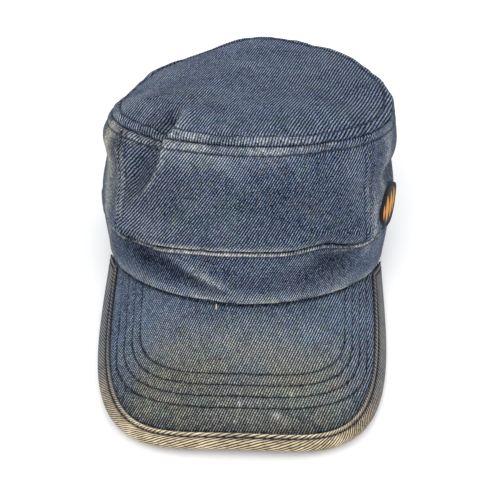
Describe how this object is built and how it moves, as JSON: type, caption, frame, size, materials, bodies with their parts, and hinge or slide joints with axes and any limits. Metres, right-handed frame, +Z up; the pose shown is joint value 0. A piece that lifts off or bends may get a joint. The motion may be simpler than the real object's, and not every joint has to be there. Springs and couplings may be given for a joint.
{
  "type": "work cap",
  "caption": "Soft cloth work cap with a sloping flat crown, a head band and a stiff arched peak with a bound edge, lying on its peak and the back of its band.",
  "frame": {"origin": "on the floor, under the middle of the cap's bounding box as it lies on its peak and the back of its band", "axes": "-Y the way the peak points, +X the wearer's left, +Z up"},
  "size_m": [0.1833, 0.2973, 0.1285],
  "materials": {
    "crown_denim": "washed indigo denim twill, worn pale along the seams",
    "peak_denim": "washed denim twill, yellowed towards the front",
    "worn_binding": "denim binding worn down to its pale weft",
    "patch": "black woven patch with an orange pattern"
  },
  "bodies": {
    "root": {"band": "crown_denim", "front_panel": "crown_denim", "side_panel_left": "crown_denim", "side_panel_right": "crown_denim", "crown_top": "crown_denim", "peak": "peak_denim", "peak_binding": "worn_binding", "side_patch": "patch"}
  },
  "joints": []
}
